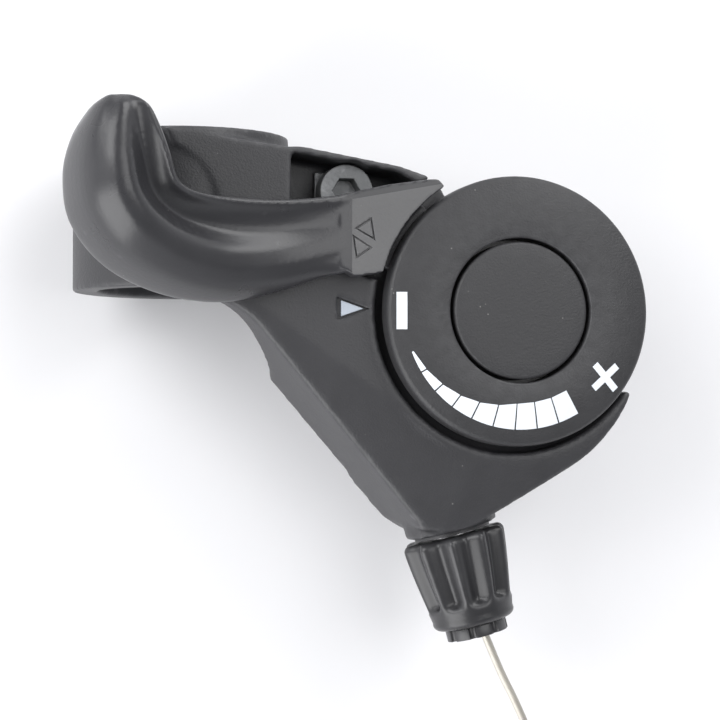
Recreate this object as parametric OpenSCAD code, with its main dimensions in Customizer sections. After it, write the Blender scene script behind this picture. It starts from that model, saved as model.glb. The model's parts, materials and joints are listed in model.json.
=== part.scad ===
// Thumb shifter for a bicycle: a clamp ring for the handlebar, a housing beside it, and a
// thumb lever that turns an indicator disc and a cable drum about one axle.
// Origin: centre of the handlebar bore. +Y runs along the bore, +X points at the disc,
// +Z runs along the axle, out of the dial.

/* [Clamp] */
// Radius of the handlebar that the clamp holds
bar_r = 11.1; // [10.4:0.1:11.8]
// Wall of the clamp ring
ring_wall = 3.5; // [3:0.1:4.5]
// Width of the clamp ring along the bar
ring_w = 21; // [18:0.5:24]
// Slit between the two halves of the clamp
slit_h = 2; // [1.2:0.1:2.6]
// Radius of the clamp bolt's thread
bolt_r = 2.5; // [2:0.1:2.7]
// Distance of the clamp bolt's thread from the clamp ring
bolt_off = 3.3; // [3:0.1:3.6]
// Radius of the clamp bolt's head
bolt_head_r = 3.6; // [3.1:0.05:3.8]
// Height of the clamp bolt's head
bolt_head_h = 3.3; // [2.5:0.1:3.6]
// Side-to-side reach of each clamp ear
ear_w = 8.6; // [8:0.2:10]
// Height of the upper clamp ear
ear_up_h = 7; // [6:0.2:7.4]
// Height of the lower clamp ear
ear_low_h = 7; // [6:0.2:9]

/* [Housing] */
// Distance of the axle from the handlebar bore, across the bar
axle_x = 42.6; // [39.6:0.1:46]
// Distance of the axle below the middle of the clamp
axle_y = 13.4; // [12:0.1:15]
// Height of the flat top of the housing above the clamp ring
top_over = 0.2; // [0:0.05:0.4]
// Step from the disc's edge in to the wall of the bowl under it
bowl_step = 0.7; // [0.4:0.1:1]
// Side wall of the bowl
wall = 1.7; // [1.4:0.1:2.2]
// Thickness of the deck between the mechanism and the dial
deck_h = 1.5; // [1.2:0.1:2]
// Thickness of the base cover
cover_h = 1.6; // [1.2:0.1:2]
// Width of the raised rim that half surrounds the dial
rim_w = 1; // [0.8:0.1:1.2]
// Slope of the lower facet of the housing
facet_slope = 14; // [11:1:16]

/* [Dial] */
// Radius of the indicator disc
disc_r = 18; // [17.5:0.1:18.4]
// Height of the disc's rim
disc_rim_h = 3.6; // [3:0.1:4]
// Rise of the disc's cone from rim to cap
disc_rise = 0.9; // [0.8:0.1:2.4]
// Radius of the centre cap
cap_r = 9.15; // [8.6:0.05:9.4]
// Groove between cap and disc
cap_gap = 0.5; // [0.3:0.05:0.6]
// Gap between disc and housing rim
rim_gap = 0.9; // [0.6:0.05:1]

/* [Lever] */
// Angle that the lever turns through
lever_turn = 144; // [120:1:144]
// Gap between lever arm and housing top
lever_gap = 0.45; // [0.35:0.05:0.8]
// Gap between lever plate and disc
plate_gap = 1.2; // [1.1:0.05:1.4]
// Thickness of the lever's plate beside the disc
plate_h = 3; // [2.6:0.1:3.4]
// Thickness of the lever's hub
hub_h = 1.6; // [1.4:0.1:1.8]

/* [Mechanism] */
// Radius of the axle
axle_r = 2.97; // [2.6:0.01:3]
// Outer radius of the pivot bush
bush_r = 4; // [3.8:0.05:4.2]
// Outer radius of the lever's sleeve
sleeve_r = 5.5; // [5.2:0.1:5.8]
// Distance of the wire's middle from the sleeve that the drum sits on
wind_off = 2.1; // [2.1:0.1:2.4]
// Height of the cable drum
drum_h = 4; // [3.4:0.1:4.4]
// Thickness of the index plate
index_h = 1.5; // [1:0.1:1.6]
// Radius of the index plate
index_r = 12; // [11:0.1:12.4]
// Number of notches in the index plate
notch_count = 13; // [8:1:15]

/* [Cable adjuster] */
// Radius of the adjuster's bolt
adj_bolt_r = 3; // [2.8:0.05:3.1]
// Largest radius of the knob
knob_r = 7.3; // [6.8:0.1:7.4]
// Radius of the knob's end
knob_end_r = 5.4; // [5:0.1:5.8]
// Length of the knob
knob_len = 12.4; // [11:0.2:13]
// Number of grip flutes on the knob
flute_count = 10; // [8:1:12]
// Radius of the adjuster's end collar
collar_r = 4.2; // [4:0.1:4.5]
// Length of the end collar
collar_len = 1.5; // [1.4:0.1:2.4]
// Radius of the seat for the cable's casing
seat_r = 2.4; // [2.1:0.05:2.5]
// Depth of the seat for the cable's casing
seat_len = 6; // [5:0.2:7]
// Turns that the adjuster's bolt can move out by
adj_turns = 3.5; // [2:0.5:3.5]
// Travel of the adjuster's bolt for each turn
adj_pitch = 1; // [0.8:0.1:1]
// Diameter of the gear wire
wire_d = 1.1; // [1:0.05:1.2]

/* [Hidden] */
$fn = 96;
eps = 0.01;
big = 200;
run = 0.05;                                     // running clearance, radial
bore_relief = 1;                                // past the ring the bore is this much wider
ring_r = bar_r + ring_wall;
top_z = ring_r + top_over;
bowl_r = disc_r - bowl_step;
wind_r = sleeve_r + wind_off;                   // radius at which the wire lies on the drum
axle = [axle_x, -axle_y];
deck_z = top_z - 2.5;                           // top of the deck under the dial
cavity_z = deck_z - deck_h;                     // ceiling of the mechanism's cavity
well_r = disc_r + rim_gap;                      // round well that the dial turns in
rim_out = well_r + rim_w;
rim_z = top_z + 0.15;
root_r = disc_r + plate_gap + 1.6;              // reach of the lever's root
cavity_r = bowl_r - wall;
swept = [-33, 167.5];                           // angles that the lever's root sweeps
screw_r = 1.1;                                  // cover screws
screw_len = 6;                                  // reach of a cover screw into its boss
screw_head_r = 2;
washer_gap = 0.2;                               // room round the washer and the bolt's head
socket_r = 1.9;                                 // corners of the clamp bolt's socket
boss_r = 2.4;
cover_screws_at = [for (s = [[6.6, 210.4], [-0.2, -52.1], [-0.8, 117.8]])
    axle + (bowl_r + s[0]) * [cos(s[1]), sin(s[1])]];

// clamp
ear_y0 = -1.9;
bolt_at = [ring_r + bolt_r + bolt_off, ear_y0 + ear_w / 2 + 0.2];
ear_x1 = bolt_at[0] + 4.9;
nut_r = 4.6;
nut_h = 4;
washer_h = 0.8;
ear_top = slit_h / 2 + ear_up_h;
ear_bottom = -slit_h / 2 - ear_low_h;
washer_w = 7.4;                                 // along X; its other side is the ear's own
washer_d = 5.6;

// axle stack
hub_z = deck_z + 0.4;                           // underside of the lever's hub
hub_top = hub_z + hub_h;
sleeve_z = 3.2;
bush_z0 = 0.9;
bush_z1 = hub_top + 0.1;
index_z = cavity_z - 1.1 - index_h;
drum_z = index_z - 0.2 - drum_h;
wire_z = drum_z + drum_h / 2;
keeper_h = 0.8;                                 // retaining washer
hole_r = sleeve_r + 1;                          // hole in the deck
disc_top = hub_top + disc_rim_h;
disc_in = cap_r + cap_gap;
cap_top = disc_top + disc_rise + 0.2;
mark_h = 0.06;

// lever
arm_z = top_z + lever_gap;                      // underside of the arm
plate_r = disc_r + plate_gap;
arm_at = axle - [plate_r + 0.25, 0];            // where the arm meets the edge of the dial
plate_top = arm_z + plate_h;

// adjuster: a line in the plane of the wire, from the knob's inner end outwards
adj_tilt = -75.5;
adj_dir = [cos(adj_tilt), sin(adj_tilt)];
adj_side = [-sin(adj_tilt), cos(adj_tilt)];
adj_at = axle + [-6, -29.9];
neck_r = 6.3;
neck_gap = 0.7;
travel = adj_turns * adj_pitch;
insert_len = travel + 2.5;                      // some thread still holds at full travel
insert_r = 4.3;
guide = adj_at - adj_dir * (insert_len + neck_gap + 0.6);
exit_s = knob_len + 0.15 + collar_len;          // end of the collar
exit_off = 0.9;                                 // the wire leans to one side of the seat
exit = adj_at + adj_dir * exit_s + adj_side * exit_off;

// free wire: route on from the adjuster, down to the surface that the clamp rests on
floor_z = -ring_r;
lie_z = floor_z + wire_d / 2;
route = [
    [exit[0], exit[1], wire_z],
    [43.5, -62, 5.2], [45.6, -66, 4.8], [47.6, -70, 4], [49.9, -75, 2.2], [52, -80, -0.6],
    [54, -85, -4.1], [55.8, -90, -8], [57.6, -95, -11.4], [59.4, -100, -13.4],
    [60.9, -105, -14], [61.8, -109, lie_z], [62, -112, lie_z]
];
coil_at = [48, -112];
coil_in = 7.4;
coil_out = 14.6;
coil_h = 6;
end_cap_r = 0.9;

// ---------- helpers ----------

// Points of an arc about c, counter-clockwise from angle a to angle b
function arc(c, r, a, b, n = 12) =
    [for (i = [0 : n]) c + r * [cos(a + (b - a) * i / n), sin(a + (b - a) * i / n)]];

// Catmull-Rom value between b and c
function between(a, b, c, d, t) =
    b + 0.5 * t * (c - a + t * (2 * a - 5 * b + 4 * c - d + t * (3 * (b - c) + d - a)));

// A smooth run through the rows of a list, n steps between each two rows
function smooth_rows(rows, n) = let (last = len(rows) - 1) [
    for (i = [0 : last - 1], k = [0 : n - 1])
        between(rows[max(i - 1, 0)], rows[i], rows[i + 1], rows[min(i + 2, last)], k / n),
    rows[last]
];

// A sector of a ring about the axle
module sector(r0, r1, a, b) {
    difference() {
        intersection() {
            translate(axle) circle(r = r1);
            polygon(concat([axle], arc(axle, 3 * r1, a, b, 6)));
        }
        translate(axle) circle(r = r0);
    }
}

// Children stand on the adjuster's line: their +Z runs along it, their +X to its side
module on_adjuster(s = 0) {
    translate([adj_at[0] + adj_dir[0] * s, adj_at[1] + adj_dir[1] * s, wire_z])
        rotate([0, 0, adj_tilt]) rotate([0, 90, 0]) rotate([0, 0, 90]) children();
}

module at_axle(z = 0) translate([axle[0], axle[1], z]) children();

module tube(r1, r0, h) {
    difference() {
        cylinder(r = r1, h = h);
        translate([0, 0, -1]) cylinder(r = r0, h = h + 2);
    }
}

// A closed solid through rings of points that all have the same count
module loft(rings) {
    n = len(rings[0]);
    last = len(rings) - 1;
    polyhedron(
        points = [for (ring = rings, p = ring) p],
        faces = concat(
            [[for (i = [0 : n - 1]) i]],
            [[for (i = [n - 1 : -1 : 0]) last * n + i]],
            [for (k = [0 : last - 1], i = [0 : n - 1]) let (j = (i + 1) % n)
                [k * n + i, (k + 1) * n + i, k * n + j]],
            [for (k = [0 : last - 1], i = [0 : n - 1]) let (j = (i + 1) % n)
                [k * n + j, (k + 1) * n + i, (k + 1) * n + j]]
        )
    );
}

// ---------- housing ----------

fillet_r = 12.6;                                // hollow between the clamp ring and the flank
front_y = -ring_w / 2 - 2.2;
fillet_at = [-2, front_y - fillet_r];
draft = 6;                                      // lean of the side wall
flank_end = adj_at + [-8.6, 2.4];               // lower end of the straight flank
// direction from the hollow's centre to where the flank touches the hollow
to_end = flank_end - fillet_at;
flank_a = atan2(to_end[1], to_end[0]) + acos(fillet_r / norm(to_end));
rear_y = ring_w / 2 - 0.3;
block_x = bolt_at[0] - 8;                       // right side of the raised block on the ring
rear_wall = [axle + [-9.6, 17.4], axle + [-15.6, 19.3]];

// Outline of the housing seen along the axle, without the clamp ring
module body_outline() {
    translate(axle) circle(r = bowl_r);
    polygon(concat(
        [[-6, 0.4 - ring_w / 2], [-2, front_y]],
        arc(fillet_at, fillet_r, 86, flank_a, 8),
        [flank_end],
        [for (s = [[-5.4, 2.1], [-3, 1.3], [0, 0.95], [2.4, 1.15], [4.4, 1.75]])
            adj_at + adj_side * s[0] - adj_dir * s[1]],
        [for (a = [-68 : 5 : -38]) axle + (rim_out + 0.07 * (-33 - a)) * [cos(a), sin(a)]],
        [axle + rim_out * [cos(swept[0]), sin(swept[0])], axle],
        rear_wall,
        [[block_x + 1.2, rear_y - 2], [block_x - 0.5, rear_y - 2.1], [-4.4, rear_y]],
        arc([-5.6, 0.2], 8.2, 74, 8, 6),
        [[3.6, -3], [3.6, front_y + 4]]
    ));
}

// Half-space cut: everything above a plane that starts falling at distance r from the axle,
// in direction a, with slope s
module facet_cut(r, a, s, z = top_z) {
    at_axle(z) rotate([0, 0, a]) translate([r, -big / 2, 0]) rotate([0, s, 0])
        translate([-0.3, 0, 0]) cube([big, big, big]);
}

// What the lean of the side wall takes away: a cone in the hollow and a slanted plane along the
// flank, which meet in one line
module flank_draft() {
    low = fillet_r - tan(draft);
    high = fillet_r + (top_z + 1) * tan(draft);
    translate([fillet_at[0], fillet_at[1], -1]) {
        cylinder(r1 = low, r2 = high, h = top_z + 2);
        rotate([0, 0, flank_a]) rotate([90, 0, 0]) linear_extrude(norm(to_end))
            polygon([[0, 0], [low, 0], [high, top_z + 2], [0, top_z + 2]]);
    }
}

module clamp_ring() {
    rotate([90, 0, 0]) translate([0, 0, -ring_w / 2]) cylinder(r = ring_r, h = ring_w);
}

module clamp_ears() {
    translate([0, ear_y0, slit_h / 2]) cube([ear_x1, ear_w, ear_up_h]);
    translate([0, ear_y0, ear_bottom]) cube([ear_x1, ear_w, ear_low_h]);
}

module bar_bore() {
    rotate([90, 0, 0]) translate([0, 0, -ring_w]) cylinder(r = bar_r, h = 2 * ring_w);
    rotate([90, 0, 0]) translate([0, 0, ring_w / 2]) cylinder(r = bar_r + bore_relief, h = big);
}

// Room for the mechanism and for the wire on its way to the adjuster
module cavity() {
    at_axle(-1) cylinder(r = cavity_r, h = cavity_z + 1);
    difference() {
        translate([0, 0, -1]) linear_extrude(cavity_z - 1.6)
            polygon([flank_end + [-5.1, 15.6], flank_end + [1.2, 7.4], guide + [-5, 2.2], guide + [6, 3.6],
                axle + [0, -cavity_r + 1], axle + [-cavity_r + 1, 0]]);
        for (p = cover_screws_at) translate([p[0], p[1], -1]) cylinder(r = boss_r, h = big);
    }
}

module screw_bosses() {
    difference() {
        intersection() {
            for (p = cover_screws_at) translate([p[0], p[1], 0])
                cylinder(r = boss_r, h = cavity_z + 0.2);
            linear_extrude(big) body_outline();
        }
        at_axle(-1) cylinder(r = index_r + 1.2, h = big);
    }
}

// Pocket in the top that the clamp bolt is reached through
module bolt_pocket() {
    translate([0, 0, ear_top]) linear_extrude(big) difference() {
        union() {
            polygon([[block_x, rear_y - 2.9], [block_x, -2.4], bolt_at + [5.7, -6.8],
                rear_wall[0] + [-1.6, -1.6], rear_wall[1] + [-0.2, -0.9]]);
            translate(bolt_at) square([washer_w + 2 * washer_gap, washer_d + 2 * washer_gap], center = true);
            translate(bolt_at) circle(r = bolt_head_r + washer_gap);
        }
        translate(axle) circle(r = well_r + 0.2);
    }
}

module body_block() {
    difference() {
        linear_extrude(top_z) body_outline();
        flank_draft();
        facet_cut(rim_out - 0.6, 235, facet_slope);
        for (a = [247 : 12 : 307]) facet_cut(rim_out + 0.2, a, facet_slope, top_z + 0.1);
        // underside of the shoulder that carries the rim: it slopes in towards the bowl
        at_axle() rotate([0, 0, swept[0] - 42]) rotate_extrude(angle = 60)
            polygon([[bowl_r + 0.6, -1], [big, -1], [big, 12.6], [rim_out + 3.6, 9.4]]);
    }
}

module rim() {
    translate([0, 0, deck_z - 1]) linear_extrude(rim_z - deck_z + 1)
        sector(well_r - 0.5, rim_out, 168, 326.5);
}

module neck() {
    on_adjuster(-9) cylinder(r = neck_r, h = 9 - neck_gap);
}

// Engraved pointer: a triangle that points at the dial
pointer_at = axle + [-rim_out - 3.4, 0.2];
module pointer(grow = 0) {
    translate(pointer_at) polygon([[-0.5 - grow, 1.25 + 1.5 * grow],
        [-0.5 - grow, -1.25 - 1.5 * grow], [3.1 + 2 * grow, 0]]);
}

module pointer_inlay() {
    color("#c9cdd3") translate([0, 0, top_z - 0.5]) linear_extrude(0.4) pointer();
}

module housing() {
    color("#2b2b2d") difference() {
        union() {
            difference() {
                union() {
                    clamp_ring();
                    clamp_ears();
                    body_block();
                    neck();
                    rim();
                }
                bar_bore();
                translate([bar_r - 3, -big / 2, -slit_h / 2]) cube([15, big, slit_h]);
                cavity();
                bolt_pocket();
                at_axle(deck_z) cylinder(r = well_r, h = big);
                translate([0, 0, deck_z]) linear_extrude(big)
                    sector(0.5, root_r + 0.3, swept[0], swept[1]);
            }
            screw_bosses();
        }
        at_axle(-1) cylinder(r = hole_r, h = big);
        translate([bolt_at[0], bolt_at[1], ear_bottom - 1]) cylinder(r = bolt_r + 0.3, h = big);
        translate([bolt_at[0], bolt_at[1], ear_bottom - eps])
            cylinder(r = nut_r, h = nut_h + 0.1, $fn = 6);
        on_adjuster(-insert_len - neck_gap) cylinder(r = insert_r, h = insert_len + 4);
        on_adjuster(-insert_len - 7) cylinder(r = 1.6, h = 10);
        translate([0, 0, top_z - 0.5]) linear_extrude(2) pointer(0.35);
        for (p = cover_screws_at) translate([p[0], p[1], -1])
            cylinder(r = screw_r - 0.15, h = screw_len + 1.5);
    }
}

module cover_outline() {
    intersection() {
        body_outline();
        union() {
            translate(axle) circle(r = bowl_r - 0.4);
            polygon([[ring_r + 1.2, -9], [ring_r + 1.2, flank_end[1] + 16.2], flank_end + [1.5, 0.6],
                adj_at + [-6.6, 3.4], adj_at + [4, 4.6], adj_at + [8, 7.9], adj_at + [15.5, 15.4],
                axle + [8, 0], axle + [-16, 6], [ring_r + 4, -6]]);
        }
    }
}

module base_cover() {
    color("#232325") difference() {
        union() {
            translate([0, 0, -cover_h]) linear_extrude(cover_h) cover_outline();
            difference() {
                at_axle() cylinder(r = cavity_r - 0.1, h = 0.8);
                for (p = cover_screws_at) translate([p[0], p[1], 0]) cylinder(r = boss_r + 0.1, h = 2);
            }
        }
        on_adjuster(-12) cylinder(r = neck_r + 0.15, h = 30);
        at_axle(-big / 2) cylinder(r = axle_r + 0.02, h = big);
        at_axle(-cover_h - eps) cylinder(r = bush_r + 2.1, h = 0.8);
        for (p = cover_screws_at) translate([p[0], p[1], -cover_h - 1]) {
            cylinder(r = screw_r + 0.15, h = 5);
            cylinder(r = screw_head_r + 0.1, h = 1 + cover_h - 0.7);
        }
    }
}

module cover_screws() {
    color("#8e9094") for (p = cover_screws_at) translate([p[0], p[1], -cover_h]) difference() {
        union() {
            cylinder(r = screw_head_r, h = cover_h - 0.72);
            cylinder(r = screw_r - 0.15, h = cover_h + screw_len);
        }
        for (a = [0, 90]) rotate([0, 0, a]) translate([-1.2, -0.25, -eps]) cube([2.4, 0.5, 0.6]);
    }
}

// ---------- clamp hardware ----------

module clamp_bolt() {
    color("#6f7276") translate([bolt_at[0], bolt_at[1], 0]) difference() {
        union() {
            translate([0, 0, ear_top + washer_h]) cylinder(r = bolt_head_r, h = bolt_head_h);
            translate([0, 0, ear_bottom - 0.8])
                cylinder(r = bolt_r, h = ear_top + washer_h - ear_bottom + 1);
        }
        translate([0, 0, ear_top + washer_h + bolt_head_h - 2.2])
            cylinder(r = socket_r, h = 5, $fn = 6);
    }
}

module clamp_washer() {
    color("#8a8c8f") translate([bolt_at[0], bolt_at[1], ear_top]) difference() {
        translate([-washer_w / 2, -washer_d / 2, 0]) cube([washer_w, washer_d, washer_h]);
        translate([0, 0, -1]) cylinder(r = bolt_r + 0.2, h = 4);
    }
}

module clamp_nut() {
    color("#9a9c9f") translate([bolt_at[0], bolt_at[1], ear_bottom]) difference() {
        cylinder(r = nut_r - 0.15, h = nut_h, $fn = 6);
        translate([0, 0, -1]) cylinder(r = bolt_r, h = nut_h + 2);
    }
}

// ---------- axle and clicks ----------

module pivot_axle() {
    color("#b0b2b5") at_axle() difference() {
        union() {
            translate([0, 0, -cover_h]) cylinder(r = bush_r + 2, h = 0.75);
            translate([0, 0, -cover_h]) cylinder(r = axle_r, h = bush_z1 + cover_h - 0.1);
        }
        translate([0, 0, bush_z1 - 7]) cylinder(r = 1.25, h = 8);
    }
}

module pivot_bush() {
    color("#c9a94f") at_axle(bush_z0) tube(bush_r, axle_r + 0.03, bush_z1 - bush_z0);
}

module thrust_washer() {
    color("#d8d4c8") at_axle(bush_z0) tube(sleeve_r + 1, bush_r + run, sleeve_z - bush_z0 - 0.1);
}

module keeper_washer() {
    color("#a9abae") at_axle(bush_z1) tube(6.2, 1.6, keeper_h);
}

module keeper_screw() {
    color("#8d8f92") at_axle(bush_z1) difference() {
        union() {
            translate([0, 0, keeper_h]) cylinder(r = 2.9, h = 1.7);
            translate([0, 0, -5.5]) cylinder(r = 1.25, h = 5.5 + keeper_h + eps);
        }
        for (a = [0, 90]) rotate([0, 0, a])
            translate([-1.7, -0.35, keeper_h + 0.8]) cube([3.4, 0.7, 2]);
    }
}

// Leaf spring bent round the index plate, with a nose that drops into its notches
click_at = 62;
module click_spring() {
    color("#7d7f83") at_axle(index_z) linear_extrude(index_h) difference() {
        union() {
            difference() {
                circle(r = index_r + 2);
                circle(r = index_r + 1.3);
                rotate(click_at + 8) polygon([[0, 0], [60, 0], [60, 90], [-90, 90], [-90, -90],
                    [60, -90], [60 * cos(-70), 60 * sin(-70)]]);
            }
            rotate(click_at) translate([index_r + 1.25, 0]) circle(r = 0.9);
        }
        circle(r = index_r + 0.08);
    }
}

spring_pin_at = axle + (index_r + 2.75) * [cos(click_at - 58), sin(click_at - 58)];
module spring_pin() {
    color("#9c9ea1") translate([spring_pin_at[0], spring_pin_at[1], index_z - 0.6])
        cylinder(r = 0.72, h = cavity_z - index_z + 0.6);
}

module index_plate() {
    color("#a3a5a8") at_axle(index_z) difference() {
        cylinder(r = index_r, h = index_h);
        translate([0, 0, -1]) cylinder(r = sleeve_r, h = 4);
        for (i = [0 : notch_count - 1])
            rotate([0, 0, click_at + i * lever_turn / (notch_count - 1)])
                translate([index_r + 0.25, 0, -1]) cylinder(r = 0.85, h = 4);
    }
}

// ---------- dial ----------

module disc_profile(extra = 0) {
    top = disc_top + extra;
    polygon(concat(
        [[disc_in, hub_top], [disc_r - 0.4, hub_top], [disc_r, hub_top + 0.4]],
        arc([disc_r - 0.9, top - 0.9], 0.9, 0, 70, 5),
        [[(disc_r + disc_in) / 2, top + disc_rise * 0.58],
            [disc_in + 0.3, top + disc_rise], [disc_in, top + disc_rise - 0.3]]
    ));
}

module indicator_disc() {
    color("#313134") at_axle() rotate_extrude() disc_profile();
}

// Marks on the disc: a bar for the low end, a cross for the high end and a wedge in nine steps
scale_r = disc_r - 2.2;
scale_a0 = 200.4;
scale_a1 = 301;
module scale_shapes() {
    translate(axle) {
        translate([-scale_r - 0.3, -0.2]) square([1.4, 4.9], center = true);
        rotate(-36.5) translate([scale_r - 1.1, 0]) rotate(-11) {
            square([4.5, 0.95], center = true);
            square([0.95, 4.5], center = true);
        }
    }
    for (i = [0 : 8]) let (
        step = (scale_a1 - scale_a0) / 9,
        a = scale_a0 + i * step + 0.4,
        b = scale_a0 + (i + 1) * step - 0.4,
        w0 = min(0.22 + 0.53 * i, 3.5),
        w1 = min(0.22 + 0.53 * (i + 1), 3.5)
    ) polygon(concat(
        arc(axle, scale_r, a, b, 4),
        [axle + (scale_r - w1) * [cos(b), sin(b)], axle + (scale_r - w0) * [cos(a), sin(a)]]
    ));
}

module scale_marks() {
    color("#e4e8ee") intersection() {
        at_axle() difference() {
            rotate_extrude() disc_profile(mark_h);
            rotate_extrude() disc_profile();
        }
        translate([0, 0, disc_top - 0.4]) linear_extrude(big) scale_shapes();
    }
}

module centre_cap() {
    color("#343437") at_axle() rotate_extrude() polygon(concat(
        [[7.9, hub_top], [cap_r, hub_top]],
        arc([cap_r - 0.5, cap_top - 0.9], 0.5, 0, 80, 4),
        [[cap_r * 0.5, cap_top - 0.1], [cap_r * 0.2, cap_top], [0, cap_top], [0, cap_top - 1.6],
            [3, cap_top - 1.6], [7.9, cap_top - 2.2]]
    ));
}

// ---------- lever ----------

// Stations along the arm, from arm_at: outer edge x, y, inner edge x, y, then heights above the
// arm's underside: outer shoulder, ridge, valley, lip, and the ridge's place across the arm
arm_stations = [
    [-2.55, 5, -1.95, 15.4, 2.7, 2.9, 2.9, 2.9, 0.3],
    [-7.15, 4.1, -6.75, 14.6, 2, 3.3, 2.9, 3.5, 0.3],
    [-13.15, 2.1, -12.95, 14, 1.8, 4.3, 3.2, 4.4, 0.32],
    [-20.65, 0.7, -19.15, 14, 2, 6.4, 4.4, 5.8, 0.36],
    [-28.65, 1.7, -23.55, 14.3, 2.4, 9.2, 6, 7.6, 0.42],
    [-35.75, 5.1, -26.1, 14.9, 2.8, 11.8, 7.8, 9.4, 0.47],
    [-40.15, 10.5, -27.5, 16, 3.2, 13.2, 9.4, 10.8, 0.48],
    [-41.2, 16.4, -28.6, 19.1, 4, 13.6, 10.8, 11.8, 0.47],
    [-40.4, 21, -29.8, 22, 6, 13.2, 11.6, 12.1, 0.46],
    [-38.6, 24.3, -31, 24.4, 8, 12.5, 11.8, 11.9, 0.45],
    [-37.4, 25.5, -32.2, 25.5, 9, 11.7, 11.4, 11.4, 0.45],
    [-36.3, 26.1, -33.6, 26.1, 9.6, 10.9, 10.8, 10.8, 0.45]
];

// One cross-section of the arm, from the underside round over thumb face, ridge, valley, lip
function arm_ring(s) = let (
    o = arm_at + [s[0], s[1]], i = arm_at + [s[2], s[3]], r = s[8],
    across = [
        [0.16, 0], [0.02, s[4] * 0.35], [0, s[4]], [r * 0.3, s[4] + (s[5] - s[4]) * 0.62],
        [r * 0.72, s[5] * 0.95], [r, s[5]], [r + (1 - r) * 0.2, s[5] * 0.88 + s[6] * 0.12],
        [r + (1 - r) * 0.36, s[5] * 0.4 + s[6] * 0.6], [r + (1 - r) * 0.52, s[6]],
        [r + (1 - r) * 0.76, s[6] * 0.65 + s[7] * 0.35],
        [0.96, s[7]], [1, s[7] * 0.8], [0.97, s[7] * 0.3], [0.86, 0]
    ]
) [for (c = across) [o[0] + (i[0] - o[0]) * c[0], o[1] + (i[1] - o[1]) * c[0], arm_z + c[1]]];

module lever_arm() {
    loft([for (s = smooth_rows(arm_stations, 4)) arm_ring(s)]);
}

// Plate beside the disc, with its sharp tip along the disc's edge
module lever_plate() {
    translate([0, 0, arm_z + 0.05]) linear_extrude(plate_h - 0.05) difference() {
        translate(arm_at) polygon([[-4.95, 5.4], [-2.95, 4.2], [0.85, 4.8], [8.5, 12], [9.4, 16.1],
            [8.3, 17.3], [6.9, 17.2], [1.45, 16.4], [-4.95, 14.9]]);
        translate(axle) circle(r = plate_r);
    }
}

module lever_root() {
    at_axle(hub_z) cylinder(r = disc_r - 0.6, h = hub_h);
    translate([0, 0, hub_z]) linear_extrude(hub_h) sector(10, root_r, 131, 162);
    translate([0, 0, hub_z]) linear_extrude(arm_z - hub_z + 1)
        sector(plate_r, root_r, 131, 162);
    at_axle(sleeve_z) cylinder(r = sleeve_r, h = hub_z - sleeve_z + eps);
}

module lever() {
    color("#3a3a3d") difference() {
        union() {
            lever_arm();
            lever_plate();
            lever_root();
        }
        at_axle(-1) cylinder(r = bush_r + run, h = big);
        translate([0, 0, plate_top - 0.25]) linear_extrude(1) lever_triangles();
    }
}

// Two small triangle outlines engraved in the plate
module lever_triangles() {
    for (t = [[[-0.75, 12], [-0.25, 8.9], [-3.05, 10.5]],
        [[-3.35, 9.7], [-0.65, 8], [-2.85, 6.5]]])
        let (c = (t[0] + t[1] + t[2]) / 3) translate(arm_at) difference() {
            polygon(t);
            polygon([for (p = t) c + (p - c) * 0.72]);
        }
}

// ---------- drum and wire ----------

drum_r = wind_r + 1.9;
nipple_a = 128;
nipple_r = 1.9;
nipple_at = axle + (wind_r - 0.2) * [cos(nipple_a), sin(nipple_a)];

// Where the wire leaves the drum on its way to the guide
to_guide = guide - axle;
leave_a = atan2(to_guide[1], to_guide[0]) + 360 - acos(wind_r / norm(to_guide));
leave_at = axle + wind_r * [cos(leave_a), sin(leave_a)];

module cable_drum() {
    color("#d9d6cc") difference() {
        at_axle(drum_z) difference() {
            cylinder(r = drum_r, h = drum_h);
            translate([0, 0, -1]) cylinder(r = sleeve_r, h = drum_h + 2);
            rotate_extrude() translate([wind_r, drum_h / 2]) {
                circle(r = wire_d / 2 + 0.15, $fn = 32);
                translate([0, -wire_d / 2 - 0.15]) square([5, wire_d + 0.3]);
            }
        }
        translate([nipple_at[0], nipple_at[1], drum_z + 0.4]) cylinder(r = nipple_r + 0.05, h = 9);
    }
}

module wire_nipple() {
    color("#b9bbbe") translate([nipple_at[0], nipple_at[1], drum_z + 0.45])
        cylinder(r = nipple_r, h = drum_h - 0.9);
}

module wound_wire() {
    color("#b4b0a4") difference() {
        at_axle(wire_z) rotate_extrude() translate([wind_r, 0])
            circle(r = wire_d / 2, $fn = 32);
        translate([0, 0, wire_z - 2]) linear_extrude(4)
            sector(0.5, 20, leave_a - 2, nipple_a + 360 + 15);
    }
}

seat_s = exit_s - seat_len;                     // bottom of the casing's seat

// Round wire through a list of points, with the given number of sides
module swept_wire(pts, sides) {
    last = len(pts) - 1;
    loft([for (k = [0 : last]) let (
        v = pts[min(k + 1, last)] - pts[max(k - 1, 0)],
        d = v / norm(v),
        side = cross([0, 0, 1], d) / norm(cross([0, 0, 1], d)),
        up = cross(d, side)
    ) [for (i = [0 : sides - 1])
        pts[k] + wire_d / 2 * (cos(i * 360 / sides) * side + sin(i * 360 / sides) * up)]]);
}

module inner_wire() {
    knee = adj_at + adj_dir * seat_s;
    color("#b4b0a4") swept_wire([
        [leave_at[0], leave_at[1], wire_z], [guide[0], guide[1], wire_z],
        [knee[0], knee[1], wire_z], [exit[0], exit[1], wire_z]
    ], 12);
}

// ---------- adjuster ----------

module thread_insert() {
    color("#c2a14b") on_adjuster(-insert_len - neck_gap)
        tube(insert_r, adj_bolt_r + run, insert_len);
}

module detent_washer() {
    color("#8b8d90") on_adjuster(-neck_gap) tube(5.2, adj_bolt_r + run, 0.4);
}

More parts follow.
